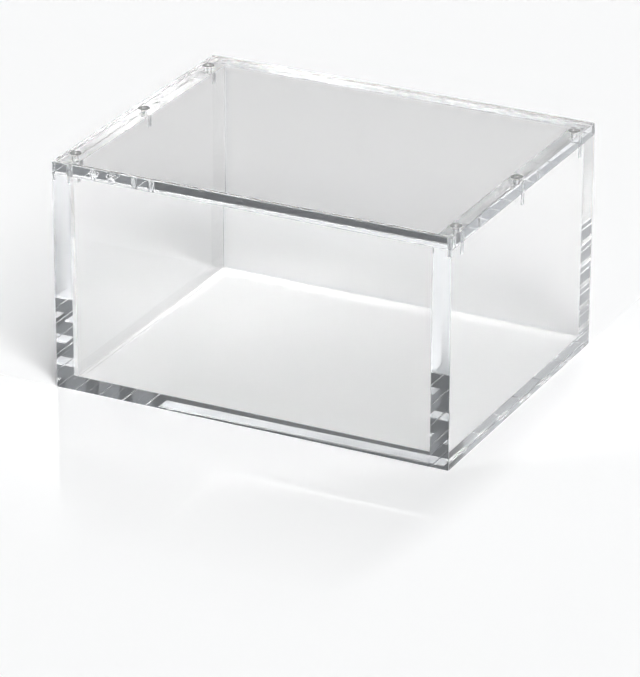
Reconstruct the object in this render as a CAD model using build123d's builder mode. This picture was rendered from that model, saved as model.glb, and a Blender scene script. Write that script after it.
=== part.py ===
from build123d import *
import os

# Clear acrylic storage box with a screwed-down lid, in millimetres.
# The origin is the middle of the box's footprint on the surface it stands on.
# +X runs to the right along the wide front, +Y to the back and +Z up.

# Driving dimensions of the box
box_width = 205.0
box_depth = 160.0
box_height = 115.0
side_wall_thickness = 9.5
panel_thickness = 6.0
lid_thickness = 6.0
edge_break = 0.3

# Countersunk M3 screws that hold the lid to the side walls
screw_diameter = 3.0
screw_length = 12.0
screw_end_inset = 14.0
head_diameter = 5.6
head_rim_height = 0.35
screw_tip_break = 0.4
recess_span = 3.0
recess_wing = 0.8
recess_depth = 1.4
recess_floor_share = 0.4

# Clearances around each screw
thread_clearance = 0.05
lid_hole_clearance = 0.1
head_clearance = 0.1
seat_clearance = 0.05
hole_end_room = 1.0

# Levels and half sizes that follow from them
lid_bottom_z = box_height - lid_thickness
half_width = box_width / 2
half_depth = box_depth / 2
inner_half_width = half_width - side_wall_thickness
end_wall_height = lid_bottom_z - panel_thickness

# Screw places: three along the middle of each side wall's top edge
screw_radius = screw_diameter / 2
head_radius = head_diameter / 2
head_height = head_rim_height + head_radius - screw_radius
screw_line_x = half_width - side_wall_thickness / 2
screw_end_y = half_depth - screw_end_inset
screw_rows = (("front", -screw_end_y), ("middle", 0), ("back", screw_end_y))
sides = (("left", -1), ("right", 1))

# Holes for the screws
lid_hole_radius = screw_radius + lid_hole_clearance
head_pocket_radius = head_radius + head_clearance
head_pocket_rim = head_rim_height - head_clearance + seat_clearance
countersink_depth = head_pocket_rim + head_pocket_radius - lid_hole_radius
wall_hole_radius = screw_radius + thread_clearance
wall_hole_depth = screw_length - lid_thickness + hole_end_room

os.makedirs("parts", exist_ok=True)


def save(piece, name):
    """Label one finished piece and write it to its own file."""
    piece.part.label = name
    export_step(piece.part, f"parts/{name}.step")


def upright_plane(x, y, z):
    """A drawing plane that faces the front, with its origin on a screw's axis."""
    return Plane(origin=(x, y, z), x_dir=(1, 0, 0), z_dir=(0, -1, 0))


# Base panel: lies between the side walls and runs the full depth
with BuildPart() as base:
    with BuildSketch(Plane.XY):
        Rectangle(2 * inner_half_width, box_depth)
    extrude(amount=panel_thickness)
    underside_edges = base.faces().sort_by(Axis.Z)[0].edges()
    chamfer(underside_edges.filter_by(Axis.X), length=edge_break)

save(base, "base")

# Front and back walls: stand on the base, between the side walls
for wall_name, wall_side in (("front", -1), ("back", 1)):
    wall_y = wall_side * (half_depth - panel_thickness / 2)
    with BuildPart() as end_wall:
        with BuildSketch(Plane.XY.offset(panel_thickness)):
            with Locations((0, wall_y)):
                Rectangle(2 * inner_half_width, panel_thickness)
        extrude(amount=end_wall_height)
        top_edges = end_wall.faces().sort_by(Axis.Z)[-1].edges()
        chamfer(top_edges.filter_by(Axis.X), length=edge_break)

    save(end_wall, f"{wall_name}_wall")

# Side walls: thicker, full depth, from the floor to the lid, with blind screw holes
for side_name, side in sides:
    with BuildPart() as side_wall:
        with BuildSketch(Plane.XY):
            with Locations((side * screw_line_x, 0)):
                Rectangle(side_wall_thickness, box_depth)
        extrude(amount=lid_bottom_z)
        outward = Axis((0, 0, 0), (side, 0, 0))
        outer_face = side_wall.faces().sort_by(outward)[-1]
        chamfer(outer_face.edges(), length=edge_break)

        # Screw holes in the top edge
        with BuildSketch(Plane.XY.offset(lid_bottom_z)):
            with Locations(*[(side * screw_line_x, y) for _, y in screw_rows]):
                Circle(wall_hole_radius)
        extrude(amount=-wall_hole_depth, mode=Mode.SUBTRACT)

    save(side_wall, f"{side_name}_wall")

# Lid: one flat sheet over all four walls, countersunk for the screws
screw_places = [(side * screw_line_x, y) for _, side in sides for _, y in screw_rows]

with BuildPart() as lid:
    with BuildSketch(Plane.XY.offset(lid_bottom_z)):
        Rectangle(box_width, box_depth)
    extrude(amount=lid_thickness)
    chamfer(lid.edges(), length=edge_break)

    for hole_x, hole_y in screw_places:
        with BuildSketch(upright_plane(hole_x, hole_y, box_height)):
            with BuildLine():
                Polyline(
                    (0, 0),
                    (head_pocket_radius, 0),
                    (head_pocket_radius, -head_pocket_rim),
                    (lid_hole_radius, -countersink_depth),
                    (lid_hole_radius, -lid_thickness),
                    (0, -lid_thickness),
                    close=True,
                )
            make_face()
        revolve(axis=Axis((hole_x, hole_y, 0), (0, 0, 1)), mode=Mode.SUBTRACT)

save(lid, "lid")

# Screws: flush countersunk heads with a cross recess, shanks down into the side walls
for side_name, side in sides:
    for row_name, screw_y in screw_rows:
        screw_x = side * screw_line_x
        with BuildPart() as screw:
            with BuildSketch(upright_plane(screw_x, screw_y, box_height)):
                with BuildLine():
                    Polyline(
                        (0, 0),
                        (head_radius, 0),
                        (head_radius, -head_rim_height),
                        (screw_radius, -head_height),
                        (screw_radius, screw_tip_break - screw_length),
                        (screw_radius - screw_tip_break, -screw_length),
                        (0, -screw_length),
                        close=True,
                    )
                make_face()
            revolve(axis=Axis((screw_x, screw_y, 0), (0, 0, 1)))

            # Cross recess, narrowing towards its floor
            for recess_z, share in (
                (box_height, 1),
                (box_height - recess_depth, recess_floor_share),
            ):
                with BuildSketch(Plane.XY.offset(recess_z)):
                    with Locations((screw_x, screw_y)):
                        Rectangle(share * recess_span, share * recess_wing)
                        Rectangle(share * recess_wing, share * recess_span)
            loft(mode=Mode.SUBTRACT)

        save(screw, f"screw_{side_name}_{row_name}")
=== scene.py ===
import math

import bmesh
import bpy
from mathutils import Matrix, Vector


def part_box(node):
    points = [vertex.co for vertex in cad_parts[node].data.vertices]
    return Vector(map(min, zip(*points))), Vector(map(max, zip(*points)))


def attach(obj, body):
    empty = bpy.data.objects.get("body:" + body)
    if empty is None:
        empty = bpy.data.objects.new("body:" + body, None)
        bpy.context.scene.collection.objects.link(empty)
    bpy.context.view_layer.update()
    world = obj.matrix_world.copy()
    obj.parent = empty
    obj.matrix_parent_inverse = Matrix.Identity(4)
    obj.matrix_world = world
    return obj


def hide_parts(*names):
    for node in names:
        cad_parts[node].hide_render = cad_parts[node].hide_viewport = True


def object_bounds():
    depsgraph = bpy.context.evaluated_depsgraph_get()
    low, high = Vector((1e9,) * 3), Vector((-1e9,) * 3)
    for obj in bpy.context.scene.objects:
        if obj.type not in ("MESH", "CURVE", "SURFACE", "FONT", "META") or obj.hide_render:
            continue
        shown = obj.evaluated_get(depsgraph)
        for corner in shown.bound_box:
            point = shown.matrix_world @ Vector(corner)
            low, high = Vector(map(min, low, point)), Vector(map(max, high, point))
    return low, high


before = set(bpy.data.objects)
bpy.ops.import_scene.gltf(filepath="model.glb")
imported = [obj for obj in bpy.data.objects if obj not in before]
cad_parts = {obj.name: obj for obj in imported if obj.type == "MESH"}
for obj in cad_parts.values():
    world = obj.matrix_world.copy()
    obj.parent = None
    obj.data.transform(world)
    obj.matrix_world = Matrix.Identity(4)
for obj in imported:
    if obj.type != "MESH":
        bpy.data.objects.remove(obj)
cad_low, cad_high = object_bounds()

# Clear acrylic storage box whose lid is held down by six countersunk screws. Lengths are in
# metres, in the CAD model's frame: the front faces -Y and the box stands on z = 0.

MM = 0.001
X, Y, Z = 0, 1, 2
SIDES = ("left", "right")
ROWS = ("front", "middle", "back")

# Camera fitted to the box's corners in the photograph, which is 640 x 677 pixels
IMAGE_WIDTH_PX = 640
FOCAL_LENGTH_PX = 4357.7
CAMERA_YAW = math.radians(26.606)
CAMERA_PITCH = math.radians(23.891)
CAMERA_ROLL = math.radians(0.139)
CAMERA_PLACE = Vector((0.85139, -1.70607, 0.85856))
CAMERA_REACH = 100.0
SENSOR_WIDTH_MM = 36.0

# Widths ground off the edges of the clear sheet, and the hairline of air in a dry seam
EDGE_BREAK = 0.3 * MM
FINE_BREAK = 0.15 * MM
SEAM_BREAK = FINE_BREAK / 2
AIR_GAP = 0.03 * MM

# Edges closer in height than this are level with each other
SAME_LEVEL = AIR_GAP / 2

# Above this cosine a face's normal counts as pointing along an axis, or along another normal
ALONG = 0.5

# Screws. The thread is built from rings of vertices, several to each turn of the thread. Each
# row of screws is turned by its own angle, in degrees, as screws driven by hand would be.
SCREW_RADIUS = 1.5 * MM
SCREW_LENGTH = 12.0 * MM
HEAD_RADIUS = 2.8 * MM
HEAD_RIM = 0.35 * MM
HEAD_ROUNDING = 0.06 * MM
THREAD_PITCH = 0.5 * MM
THREAD_DEPTH = 0.27 * MM
RINGS_PER_PITCH = 6
ROUND_SEGMENTS = 40
SCREW_TURNS = {"front": 20, "middle": 65, "back": 40}

# Cross recess in a screw's head. It tapers: its cutter has these shares of the outline at its
# top and at its floor.
RECESS_SPAN = 3.0 * MM
RECESS_WING = 0.7 * MM
RECESS_DEPTH = 1.4 * MM
RECESS_TOP_SHARE = 1.05
RECESS_FLOOR_SHARE = 0.35

# Holes for the screws, and how far the cutters of holes and recess stand out of what they cut
LID_HOLE_RADIUS = 1.6 * MM
HEAD_POCKET_RADIUS = 2.9 * MM
HEAD_POCKET_RIM = 0.3 * MM
WALL_HOLE_RADIUS = 1.52 * MM
WALL_HOLE_DEPTH = 7.0 * MM
HOLE_OVERRUN = 1 * MM
RECESS_OVERRUN = 0.1 * MM

# Clear acrylic: its refraction, its tints, and the fine relief of its surfaces
ACRYLIC_IOR = 1.49
SHEET_TINT = (0.985, 0.984, 0.983)
EDGE_TINT = (0.90, 0.915, 0.93)
ACRYLIC_NOISE_DETAIL = 3.0
ACRYLIC_RELIEF = 0.01 * MM

# Stainless steel: its two tones and its turning marks
STEEL_TONES = ((0.66, 0.655, 0.65), (0.84, 0.835, 0.83))
STEEL_ROUGHNESS = (0.5, 0.7)
STEEL_NOISE_SCALE = 2500.0
STEEL_NOISE_DETAIL = 2.0
STEEL_MARK_STRENGTH = 0.3
STEEL_RELIEF = 0.02 * MM

# Light of the room by direction. Each fade gives the parts of the direction, sideways or
# upwards, between which one light turns into the next. The camera itself sees the background.
FRONT_LEFT = (0.46, 0.48, 0.50)
FRONT_RIGHT = (0.06, 0.06, 0.06)
BACK_LEFT = (0.12, 0.125, 0.13)
BACK_RIGHT = (0.24, 0.25, 0.26)
OVERHEAD = (0.2, 0.2, 0.2)
BACKGROUND = (1.1, 1.1, 1.1)
SIDE_FADE = (-0.5, 0.5)
OVERHEAD_FADE = (0.6, 0.9)

# Key light: its direction, turned to the right from straight in front and raised, and the
# angles from its middle where it starts to fade and ends
KEY_LIGHT = (20.7, 20.7, 20.7)
KEY_TURN = math.radians(44.0)
KEY_HEIGHT = math.radians(45.0)
KEY_INNER = math.radians(8.0)
KEY_OUTER = math.radians(17.0)

# Floor: its white, its gloss beside the box, and the tent light that the gloss sees
FLOOR_REACH = 40.0
FLOOR_DROP = 0.05 * MM
FLOOR_WHITE = (0.97, 0.97, 0.97)
FLOOR_TENT = 1.0
GLOSS_ROUGHNESS = 0.02
GLOSS_SHARE = 0.2
GLOSS_REACH = 0.18
GLOSS_SIDE_FADE = 5.0

# A light path may bounce this often, because it crosses many faces of clear sheet
MAX_BOUNCES = 96

# Material slots on every clear piece: sheet, polished edge, welded joint and ground edge
FACE, EDGE, JOINT, GROUND = 0, 1, 2, 3


def node_box(name):
    """Lowest and highest corner of a CAD node."""
    low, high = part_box(name)
    return Vector(low), Vector(high)


# Levels and lines that the pieces share, from the CAD nodes
base_low, base_high = node_box("base")
lid_low, lid_high = node_box("lid")
inner_x = base_high.x
base_top = base_high.z
_, front_wall_high = node_box("front_wall")
back_wall_low, _ = node_box("back_wall")
front_inside_y = front_wall_high.y
back_inside_y = back_wall_low.y
wall_top = lid_low.z - AIR_GAP


# Scene and mesh helpers
def link(obj):
    """Puts an object into the scene."""
    bpy.context.scene.collection.objects.link(obj)
    return obj


def object_from(mesh, name):
    """Turns a bmesh into an object in the scene."""
    data = bpy.data.meshes.new(name)
    mesh.to_mesh(data)
    mesh.free()
    return link(bpy.data.objects.new(name, data))


def bake(obj):
    """Turns obj's modifiers into plain mesh."""
    graph = bpy.context.evaluated_depsgraph_get()
    data = bpy.data.meshes.new_from_object(obj.evaluated_get(graph))
    obj.modifiers.clear()
    obj.data = data


def subtract(obj, cutter):
    """Gives obj a modifier that cuts the cutter out of it."""
    cut = obj.modifiers.new("cut", "BOOLEAN")
    cut.operation = "DIFFERENCE"
    cut.object = cutter
    cut.solver = "EXACT"
    return cut


def turn_at(segment):
    """Angle of one of the even segments around a turned piece."""
    return 2 * math.pi * segment / ROUND_SEGMENTS


def round_ring(mesh, centre, points):
    """A ring of vertices about an upright axis, one for each (radius, z) in points."""
    ring = []
    for segment, (radius, z) in enumerate(points):
        turn = turn_at(segment)
        ring.append(mesh.verts.new((
            centre[0] + radius * math.cos(turn),
            centre[1] + radius * math.sin(turn),
            z,
        )))
    return ring


def close_rings(mesh, rings):
    """Joins rings of vertices from top to bottom and caps both ends. Returns the bands of faces
    between the rings."""
    count = len(rings[0])
    bands = []
    for upper, lower in zip(rings, rings[1:]):
        band = []
        for i in range(count):
            k = (i + 1) % count
            band.append(mesh.faces.new((upper[i], lower[i], lower[k], upper[k])))
        bands.append(band)
    mesh.faces.new(rings[0])
    mesh.faces.new(reversed(rings[-1]))
    return bands


# Materials
def new_material(name):
    """A node material, with its nodes and links."""
    material = bpy.data.materials.new(name)
    material.use_nodes = True
    return material, material.node_tree.nodes, material.node_tree.links


def add_relief(nodes, links, place, scale, detail, roughness, strength, distance):
    """Noise that varies the shader's roughness and raises its surface. Returns the noise."""
    shader = nodes["Principled BSDF"]
    noise = nodes.new("ShaderNodeTexNoise")
    noise.inputs["Scale"].default_value = scale
    noise.inputs["Detail"].default_value = detail
    spread = nodes.new("ShaderNodeMapRange")
    spread.inputs["To Min"].default_value = roughness[0]
    spread.inputs["To Max"].default_value = roughness[1]
    relief = nodes.new("ShaderNodeBump")
    relief.inputs["Strength"].default_value = strength
    relief.inputs["Distance"].default_value = distance
    links.new(place, noise.inputs["Vector"])
    links.new(noise.outputs["Fac"], spread.inputs["Value"])
    links.new(spread.outputs["Result"], shader.inputs["Roughness"])
    links.new(noise.outputs["Fac"], relief.inputs["Height"])
    links.new(relief.outputs["Normal"], shader.inputs["Normal"])
    return noise.outputs["Fac"]


def clear_acrylic(name, tint, roughness, ripple, scale, stretch=(1, 1, 1)):
    """Clear acrylic, polished, drilled or ground by its roughness and the strength of its ripple.
    The scale sets how fine the noise behind both is, and stretch multiplies it on each axis."""
    material, nodes, links = new_material(name)
    shader = nodes["Principled BSDF"]
    shader.inputs["Base Color"].default_value = (*tint, 1)
    shader.inputs["Transmission Weight"].default_value = 1.0
    shader.inputs["IOR"].default_value = ACRYLIC_IOR
    place = nodes.new("ShaderNodeTexCoord")
    mapping = nodes.new("ShaderNodeMapping")
    mapping.inputs["Scale"].default_value = stretch
    links.new(place.outputs["Object"], mapping.inputs["Vector"])
    add_relief(nodes, links, mapping.outputs["Vector"], scale, ACRYLIC_NOISE_DETAIL,
               roughness, ripple, ACRYLIC_RELIEF)
    return material


def welded_joint():
    """Where two sheets are welded the acrylic is continuous, so the joint can't be seen."""
    material, nodes, links = new_material("welded_joint")
    nodes.remove(nodes["Principled BSDF"])
    through = nodes.new("ShaderNodeBsdfTransparent")
    links.new(through.outputs["BSDF"], nodes["Material Output"].inputs["Surface"])
    return material


def screw_steel():
    """Bright stainless steel with fine turning marks."""
    material, nodes, links = new_material("screw_steel")
    shader = nodes["Principled BSDF"]
    shader.inputs["Metallic"].default_value = 1.0
    place = nodes.new("ShaderNodeTexCoord")
    noise = add_relief(nodes, links, place.outputs["Object"], STEEL_NOISE_SCALE,
                       STEEL_NOISE_DETAIL, STEEL_ROUGHNESS, STEEL_MARK_STRENGTH, STEEL_RELIEF)
    tone = nodes.new("ShaderNodeValToRGB")
    for element, color in zip(tone.color_ramp.elements, STEEL_TONES):
        element.color = (*color, 1)
    links.new(noise, tone.inputs["Fac"])
    links.new(tone.outputs["Color"], shader.inputs["Base Color"])
    return material


# Clear panels
def cut_box(grid):
    """Closed box as a bmesh, its faces divided at the coordinates in grid[axis]."""
    mesh = bmesh.new()
    verts = {}

    def vert(key):
        """The vertex at three places in the grid, made once."""
        if key not in verts:
            verts[key] = mesh.verts.new([grid[axis][key[axis]] for axis in (X, Y, Z)])
        return verts[key]

    for axis in (X, Y, Z):
        u, v = (axis + 1) % 3, (axis + 2) % 3
        for end in (0, len(grid[axis]) - 1):
            for i in range(len(grid[u]) - 1):
                for j in range(len(grid[v]) - 1):
                    corners = []
                    for du, dv in ((0, 0), (1, 0), (1, 1), (0, 1)):
                        key = [0, 0, 0]
                        key[axis], key[u], key[v] = end, i + du, j + dv
                        corners.append(vert(tuple(key)))
                    if end == 0:
                        corners.reverse()
                    mesh.faces.new(corners)
    return mesh


def break_width(start, end, at_joint):
    """Width ground off a square edge. It is zero on upright edges away from the front corners,
    on the walls' tops, on most edges of welded joints and on the lid's upper side edges."""
    height = start.z
    front_to_back = abs(start.y - end.y) > EDGE_BREAK
    if abs(height - end.z) > EDGE_BREAK:
        at_front_corner = abs(start.x) > inner_x + EDGE_BREAK and start.y < 0
        return FINE_BREAK if at_front_corner else 0.0
    if abs(height - wall_top) < SAME_LEVEL:
        return 0.0
    if at_joint:
        if not front_to_back:
            return 0.0
        on_floor = height < FINE_BREAK
        return EDGE_BREAK if on_floor else SEAM_BREAK
    if abs(height - lid_low.z) < SAME_LEVEL:
        return EDGE_BREAK if front_to_back else FINE_BREAK
    if height > lid_low.z and front_to_back:
        return 0.0
    return EDGE_BREAK


def clear_panel(name, low, high, thin_axis, cuts=None, is_joint=None):
    """A clear panel between two corners. Its edges are ground by break_width, and is_joint says
    which faces are welded. The cuts divide its faces where a joint ends, by axis."""
    cuts = cuts or {}
    grid = [sorted({low[axis], high[axis], *cuts.get(axis, ())}) for axis in (X, Y, Z)]
    mesh = cut_box(grid)
    for face in mesh.faces:
        face.normal_update()
        centre = face.calc_center_median()
        if is_joint and is_joint(centre, face.normal):
            face.material_index = JOINT
        elif abs(face.normal[thin_axis]) > ALONG or abs(face.normal.z) > ALONG:
            face.material_index = FACE
        else:
            face.material_index = EDGE
    weights = []
    mesh.edges.ensure_lookup_table()
    for edge in mesh.edges:
        first, second = edge.link_faces
        at_joint = JOINT in (first.material_index, second.material_index)
        square = abs(first.normal.dot(second.normal)) < ALONG
        start, end = (vert.co for vert in edge.verts)
        weights.append(break_width(start, end, at_joint) / EDGE_BREAK if square else 0.0)
    obj = object_from(mesh, name)
    attribute = obj.data.attributes.new("bevel_weight_edge", "FLOAT", "EDGE")
    attribute.data.foreach_set("value", weights)
    bevel = obj.modifiers.new("edge_break", "BEVEL")
    bevel.limit_method = "WEIGHT"
    bevel.width = EDGE_BREAK
    bevel.segments = 1
    bevel.material = GROUND
    return obj


def base_joint(centre, normal):
    """The base is welded to both side walls at its ends, and under the end walls."""
    under_end_wall = centre.y < front_inside_y or centre.y > back_inside_y
    return abs(normal.x) > ALONG or (normal.z > ALONG and under_end_wall)


def front_wall_joint(centre, normal):
    """The front wall is welded to the base only: the seams at its ends are dry."""
    return normal.z < -ALONG


def back_wall_joint(centre, normal):
    """The back wall is welded to the base and at both ends."""
    return normal.z < -ALONG or abs(normal.x) > ALONG


def side_wall_joint(centre, normal):
    """A side wall's inner face is welded where the base and the back wall meet it."""
    inward = normal.x * centre.x < 0 and abs(normal.x) > ALONG
    return inward and (centre.z < base_top or centre.y > back_inside_y)


# Holes and screws
def lathe(name, profile, centre):
    """Closed turned solid about an upright axis; profile is (radius, z) from top to bottom."""
    mesh = bmesh.new()
    rings = [round_ring(mesh, centre, [point] * ROUND_SEGMENTS) for point in profile]
    close_rings(mesh, rings)
    return object_from(mesh, name)


def cut_away(obj, cutters, material):
    """Cuts the cutters out of obj, lines the holes with the material, bakes obj's modifiers into
    its mesh and deletes the cutters."""
    for cutter in cutters:
        cutter.data.materials.append(material)
        subtract(obj, cutter).material_mode = "TRANSFER"
    bake(obj)
    for cutter in cutters:
        bpy.data.objects.remove(cutter)


def cross_cutter():
    """A tapered cross that cuts the screw's recess."""
    a, b = RECESS_SPAN / 2, RECESS_WING / 2
    outline = ((a, b), (b, b), (b, a), (-b, a), (-b, b), (-a, b),
               (-a, -b), (-b, -b), (-b, -a), (b, -a), (b, -b), (a, -b))
    mesh = bmesh.new()
    rings = []
    for z, share in ((RECESS_OVERRUN, RECESS_TOP_SHARE), (-RECESS_DEPTH, RECESS_FLOOR_SHARE)):
        rings.append([mesh.verts.new((share * x, share * y, z)) for x, y in outline])
    close_rings(mesh, rings)
    return object_from(mesh, "cross_cutter")


def screw_mesh(name):
    """A countersunk screw at the origin, head up and its top at z = 0, with a real thread."""
    head_height = HEAD_RIM + HEAD_RADIUS - SCREW_RADIUS
    thread_top = head_height + THREAD_PITCH
    step = THREAD_PITCH / RINGS_PER_PITCH

    def radius_at(turn, depth):
        """Thread of V section whose crest winds down the shank, run out at both ends."""
        phase = (depth / THREAD_PITCH - turn / (2 * math.pi)) % 1
        cut = THREAD_DEPTH * (1 - abs(2 * phase - 1))
        start = min(max((depth - head_height) / (thread_top - head_height), 0), 1)
        taper = min(max((depth - SCREW_LENGTH + THREAD_PITCH) / THREAD_PITCH, 0), 1)
        return SCREW_RADIUS - start * cut * (1 - taper) - taper * THREAD_DEPTH

    depths = []
    depth = head_height
    while depth < SCREW_LENGTH - step / 2:
        depths.append(depth)
        depth += step
    depths.append(SCREW_LENGTH)

    mesh = bmesh.new()
    head = (
        (HEAD_RADIUS - HEAD_ROUNDING, 0),
        (HEAD_RADIUS, -HEAD_ROUNDING),
        (HEAD_RADIUS, -HEAD_RIM),
    )
    rings = [round_ring(mesh, (0, 0), [point] * ROUND_SEGMENTS) for point in head]
    for depth in depths:
        points = [(radius_at(turn_at(i), depth), -depth) for i in range(ROUND_SEGMENTS)]
        rings.append(round_ring(mesh, (0, 0), points))
    # The first band is the head's rounding, which stays flat-shaded
    for band in close_rings(mesh, rings)[1:]:
        for face in band:
            face.smooth = True

    obj = object_from(mesh, name)
    recess = cross_cutter()
    subtract(obj, recess)
    bake(obj)
    bpy.data.objects.remove(recess)
    data = obj.data
    bpy.data.objects.remove(obj)
    return data


def dress(obj, materials, body, slot, *nodes):
    """Gives a piece its materials and its body, and hides the CAD nodes it stands for."""
    for material in materials:
        obj.data.materials.append(material)
    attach(obj, body)
    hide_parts(*nodes)


# Studio
def smooth_ramp(nodes, links, source, span, first=0.0, last=1.0):
    """Goes smoothly from first to last while the source goes through the span."""
    node = nodes.new("ShaderNodeMapRange")
    node.interpolation_type = "SMOOTHSTEP"
    node.inputs["From Min"].default_value = span[0]
    node.inputs["From Max"].default_value = span[1]
    node.inputs["To Min"].default_value = first
    node.inputs["To Max"].default_value = last
    links.new(source, node.inputs["Value"])
    return node.outputs["Result"]


def studio_world():
    """Studio: one soft key light, high in front on the right, and a dim room. The room is
    brightest in front on the left and darkest in front on the right. Seen straight, it is white."""
    world = bpy.data.worlds.new("studio")
    bpy.context.scene.world = world
    world.use_nodes = True
    nodes, links = world.node_tree.nodes, world.node_tree.links
    place = nodes.new("ShaderNodeTexCoord")
    direction = place.outputs["Generated"]
    parts = nodes.new("ShaderNodeSeparateXYZ")
    links.new(direction, parts.inputs["Vector"])
    towards_key = nodes.new("ShaderNodeVectorMath")
    towards_key.operation = "DOT_PRODUCT"
    towards_key.inputs[1].default_value = (
        math.sin(KEY_TURN) * math.cos(KEY_HEIGHT),
        -math.cos(KEY_TURN) * math.cos(KEY_HEIGHT),
        math.sin(KEY_HEIGHT),
    )
    links.new(direction, towards_key.inputs[0])

    def mix(factor, first, second):
        """First where the factor is 0 and second where it is 1; each a color or an output."""
        node = nodes.new("ShaderNodeMix")
        node.data_type = "RGBA"
        node.clamp_factor = True
        links.new(factor, node.inputs["Factor"])
        for socket, value in ((node.inputs["A"], first), (node.inputs["B"], second)):
            if isinstance(value, tuple):
                socket.default_value = (*value, 1)
            else:
                links.new(value, socket)
        return node.outputs["Result"]

    behind = smooth_ramp(nodes, links, parts.outputs["Y"], SIDE_FADE)
    on_right = smooth_ramp(nodes, links, parts.outputs["X"], SIDE_FADE)
    overhead = smooth_ramp(nodes, links, parts.outputs["Z"], OVERHEAD_FADE)
    key_span = (math.cos(KEY_OUTER), math.cos(KEY_INNER))
    key = smooth_ramp(nodes, links, towards_key.outputs["Value"], key_span)
    front = mix(on_right, FRONT_LEFT, FRONT_RIGHT)
    back = mix(on_right, BACK_LEFT, BACK_RIGHT)
    room = mix(overhead, mix(behind, front, back), OVERHEAD)
    studio = mix(key, room, KEY_LIGHT)
    path = nodes.new("ShaderNodeLightPath")
    shown = mix(path.outputs["Is Camera Ray"], studio, BACKGROUND)
    links.new(shown, nodes["Background"].inputs["Color"])


def floor_tent(floor):
    """White tent that only the floor's gloss sees, so that the floor stays plain white."""
    light = bpy.data.lights.new("floor_tent", "SUN")
    light.angle = math.pi
    light.energy = math.pi * FLOOR_TENT
    obj = link(bpy.data.objects.new("floor_tent", light))
    obj.visible_diffuse = False
    obj.visible_transmission = False
    obj.visible_camera = False
    lit = bpy.data.collections.new("floor_only")
    lit.objects.link(floor)
    obj.light_linking.receiver_collection = lit


def studio_floor():
    """Plain white floor. It is matt under the box, behind it and on its left. Its gloss starts at
    the lines of the front and the right side, and fades away from them, faster on the right."""
    mesh = bpy.data.meshes.new("floor")
    corners = [(-FLOOR_REACH, -FLOOR_REACH, -FLOOR_DROP), (FLOOR_REACH, -FLOOR_REACH, -FLOOR_DROP),
               (FLOOR_REACH, FLOOR_REACH, -FLOOR_DROP), (-FLOOR_REACH, FLOOR_REACH, -FLOOR_DROP)]
    mesh.from_pydata(corners, [], [(0, 1, 2, 3)])
    floor = link(bpy.data.objects.new("floor", mesh))
    material, nodes, links = new_material("studio_floor")
    nodes.remove(nodes["Principled BSDF"])
    matt = nodes.new("ShaderNodeBsdfDiffuse")
    matt.inputs["Color"].default_value = (*FLOOR_WHITE, 1)
    gloss = nodes.new("ShaderNodeBsdfGlossy")
    gloss.inputs["Color"].default_value = (1, 1, 1, 1)
    gloss.inputs["Roughness"].default_value = GLOSS_ROUGHNESS

    def vector_math(operation, source, value):
        """Works on the source's three parts with the value's."""
        node = nodes.new("ShaderNodeVectorMath")
        node.operation = operation
        node.inputs[1].default_value = value
        links.new(source, node.inputs[0])
        return node.outputs["Vector"]

    # Distance beyond the lines of the right side and the front, stretched on the right
    place = nodes.new("ShaderNodeTexCoord")
    stretched = vector_math("MULTIPLY", place.outputs["Object"], (GLOSS_SIDE_FADE, -1, 0))
    edges = (GLOSS_SIDE_FADE * cad_high.x, cad_high.y, 0)
    beyond = vector_math("MAXIMUM", vector_math("SUBTRACT", stretched, edges), (0, 0, 0))
    distance = nodes.new("ShaderNodeVectorMath")
    distance.operation = "LENGTH"
    links.new(beyond, distance.inputs[0])

    fade = smooth_ramp(nodes, links, distance.outputs["Value"], (0.0, GLOSS_REACH),
                       GLOSS_SHARE, 0.0)
    beside = nodes.new("ShaderNodeMath")
    beside.operation = "GREATER_THAN"
    beside.inputs[1].default_value = 0.0
    links.new(distance.outputs["Value"], beside.inputs[0])
    share = nodes.new("ShaderNodeMath")
    share.operation = "MULTIPLY"
    links.new(fade, share.inputs[0])
    links.new(beside.outputs["Value"], share.inputs[1])
    surface = nodes.new("ShaderNodeMixShader")
    links.new(share.outputs["Value"], surface.inputs["Fac"])
    links.new(matt.outputs["BSDF"], surface.inputs[1])
    links.new(gloss.outputs["BSDF"], surface.inputs[2])
    links.new(surface.outputs["Shader"], nodes["Material Output"].inputs["Surface"])
    mesh.materials.append(material)
    return floor


def set_camera():
    """Camera at the photograph's place and angle, principal point in the middle."""
    camera = bpy.data.cameras.new("photo_camera")
    camera.sensor_fit = "HORIZONTAL"
    camera.sensor_width = SENSOR_WIDTH_MM
    camera.lens = FOCAL_LENGTH_PX * SENSOR_WIDTH_MM / IMAGE_WIDTH_PX
    camera.clip_end = CAMERA_REACH
    forward = Vector((
        -math.sin(CAMERA_YAW) * math.cos(CAMERA_PITCH),
        math.cos(CAMERA_YAW) * math.cos(CAMERA_PITCH),
        -math.sin(CAMERA_PITCH),
    ))
    level = Vector((math.cos(CAMERA_YAW), math.sin(CAMERA_YAW), 0))
    upright = level.cross(forward)
    right = math.cos(CAMERA_ROLL) * level + math.sin(CAMERA_ROLL) * upright
    up = math.cos(CAMERA_ROLL) * upright - math.sin(CAMERA_ROLL) * level
    rotation = Matrix((right, up, -forward)).transposed()
    obj = link(bpy.data.objects.new("photo_camera", camera))
    obj.matrix_world = Matrix.Translation(CAMERA_PLACE) @ rotation.to_4x4()
    bpy.context.scene.camera = obj


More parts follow.
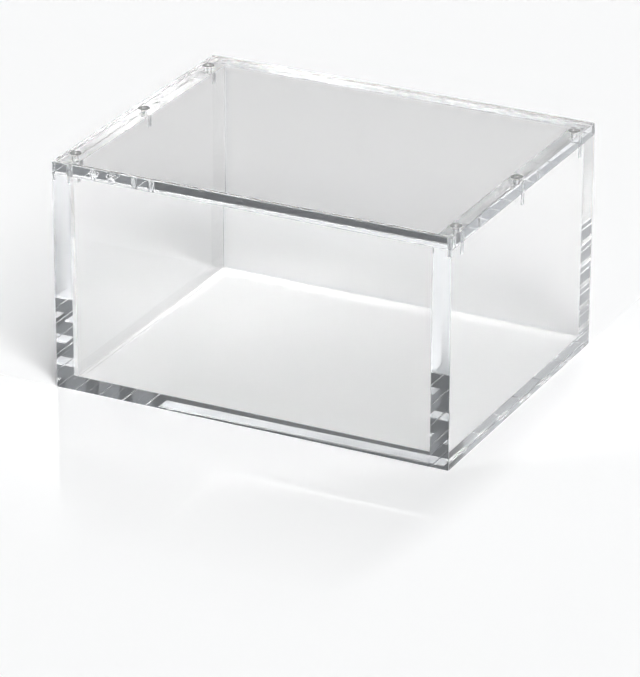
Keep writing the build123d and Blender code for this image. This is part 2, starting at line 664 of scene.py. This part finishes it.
# Materials of the pieces
sheet = clear_acrylic("acrylic_sheet", SHEET_TINT,
                      roughness=(0.0, 0.004), ripple=0.02, scale=30.0)
edge = clear_acrylic("acrylic_polished_edge", EDGE_TINT,
                     roughness=(0.0, 0.008), ripple=0.04, scale=200.0)
drilled = clear_acrylic("acrylic_drilled", EDGE_TINT,
                        roughness=(0.18, 0.4), ripple=0.5, scale=1500.0, stretch=(1, 1, 0.3))
joint = welded_joint()
ground = clear_acrylic("acrylic_ground_edge", SHEET_TINT,
                       roughness=(0.45, 0.65), ripple=0.3, scale=1500.0)
clear = (sheet, edge, joint, ground)
steel = screw_steel()

# Base
base_panel = clear_panel("base_panel", base_low, base_high, Z,
                         {Y: (front_inside_y, back_inside_y)}, base_joint)
dress(base_panel, clear, "box", "acrylic", "base")

# End walls, between the side walls
end_walls = (
    ("front", AIR_GAP, front_wall_joint),
    ("back", 0.0, back_wall_joint),
)
for end, dry_seam, end_wall_joint in end_walls:
    low, high = node_box(f"{end}_wall")
    low.x += dry_seam
    high.x -= dry_seam
    high.z = wall_top
    panel = clear_panel(f"{end}_wall_panel", low, high, Y, is_joint=end_wall_joint)
    dress(panel, clear, "box", "acrylic", f"{end}_wall")

screw_data = screw_mesh("threaded_screw")
screw_data.materials.append(steel)

# Side walls
side_panels = {}
for side in SIDES:
    low, high = node_box(f"{side}_wall")
    high.z = wall_top
    panel = clear_panel(f"{side}_wall_panel", low, high, X,
                        {Y: (back_inside_y,), Z: (base_top,)}, side_wall_joint)
    dress(panel, clear, "box", "acrylic", f"{side}_wall")
    side_panels[side] = panel

# Lid
lid_panel = clear_panel("lid_panel", lid_low, lid_high, Z)
dress(lid_panel, clear, "lid", "acrylic", "lid")

# Screws, and the cutters for their holes
top = lid_high.z
cone_bottom = top - HEAD_POCKET_RIM - HEAD_POCKET_RADIUS + LID_HOLE_RADIUS
lid_cutters = []
wall_cutters = {side: [] for side in SIDES}
for side in SIDES:
    for row in ROWS:
        node = f"screw_{side}_{row}"
        low, high = node_box(node)
        centre = (low + high) / 2
        lid_cutters.append(lathe("lid_hole", (
            (HEAD_POCKET_RADIUS, top + HOLE_OVERRUN),
            (HEAD_POCKET_RADIUS, top - HEAD_POCKET_RIM),
            (LID_HOLE_RADIUS, cone_bottom),
            (LID_HOLE_RADIUS, lid_low.z - HOLE_OVERRUN),
        ), centre))
        wall_cutters[side].append(lathe("wall_hole", (
            (WALL_HOLE_RADIUS, wall_top + HOLE_OVERRUN),
            (WALL_HOLE_RADIUS, lid_low.z - WALL_HOLE_DEPTH),
        ), centre))
        data = screw_data.copy()
        turn = Matrix.Rotation(math.radians(SCREW_TURNS[row]), 4, "Z")
        data.transform(Matrix.Translation((centre.x, centre.y, top)) @ turn)
        screw = link(bpy.data.objects.new(f"{node}_threaded", data))
        dress(screw, (), node, "screw_steel", node)

cut_away(lid_panel, lid_cutters, drilled)
for side, panel in side_panels.items():
    cut_away(panel, wall_cutters[side], drilled)

studio_world()
floor_tent(studio_floor())
set_camera()

# Light through many clear sheets needs long, unblurred and unclamped paths
scene = bpy.context.scene
scene.cycles.max_bounces = MAX_BOUNCES
scene.cycles.transmission_bounces = MAX_BOUNCES
scene.cycles.glossy_bounces = MAX_BOUNCES
scene.cycles.transparent_max_bounces = MAX_BOUNCES
scene.cycles.blur_glossy = 0.0
scene.cycles.sample_clamp_indirect = 0.0
scene.view_settings.view_transform = "Standard"
